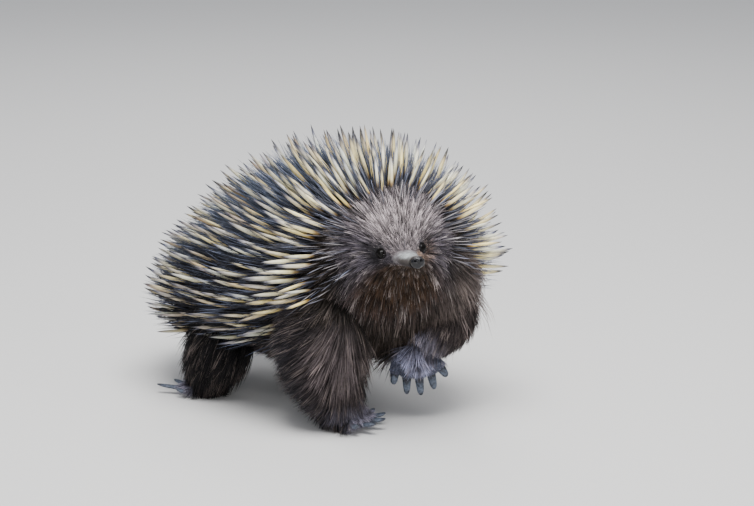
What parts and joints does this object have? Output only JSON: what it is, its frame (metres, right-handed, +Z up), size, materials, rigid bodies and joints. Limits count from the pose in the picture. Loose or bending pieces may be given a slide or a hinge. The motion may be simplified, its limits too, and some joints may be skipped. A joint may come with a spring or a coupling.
{
  "type": "short-beaked echidna",
  "caption": "Life-size still echidna walking with one forefoot raised, head turned, spined back, furred legs, bare tubular beak and blunt digging claws.",
  "frame": {"origin": "middle of the bounding box's underside, on the ground that the soles stand on", "axes": "+Z up, the animal walks towards -Y, its left side is +X"},
  "size_m": [0.2252, 0.3716, 0.2445],
  "materials": {
    "spined_coat": "cream spines with dark tips over dark fur",
    "fur": "dark brown fur",
    "beak_skin": "bare grey-black skin",
    "eye": "wet black",
    "claw": "worn blue-grey horn"
  },
  "bodies": {
    "root": {"beak": "beak_skin", "ear_left": "fur", "ear_right": "fur", "eye_left": "eye", "eye_right": "eye", "forefoot_left": "fur", "forefoot_left_claw_1": "claw", "forefoot_left_claw_2": "claw", "forefoot_left_claw_3": "claw", "forefoot_left_claw_4": "claw", "forefoot_left_claw_5": "claw", "forefoot_right": "fur", "forefoot_right_claw_1": "claw", "forefoot_right_claw_2": "claw", "forefoot_right_claw_3": "claw", "forefoot_right_claw_4": "claw", "forefoot_right_claw_5": "claw", "foreleg_left": "fur", "foreleg_right": "fur", "head": "fur", "hindfoot_left": "fur", "hindfoot_left_claw_1": "claw", "hindfoot_left_claw_2": "claw", "hindfoot_left_claw_3": "claw", "hindfoot_left_claw_4": "claw", "hindfoot_left_claw_5": "claw", "hindfoot_right": "fur", "hindfoot_right_claw_1": "claw", "hindfoot_right_claw_2": "claw", "hindfoot_right_claw_3": "claw", "hindfoot_right_claw_4": "claw", "hindfoot_right_claw_5": "claw", "hindleg_left": "fur", "hindleg_right": "fur", "tail": "fur", "torso": "spined_coat"}
  },
  "joints": []
}
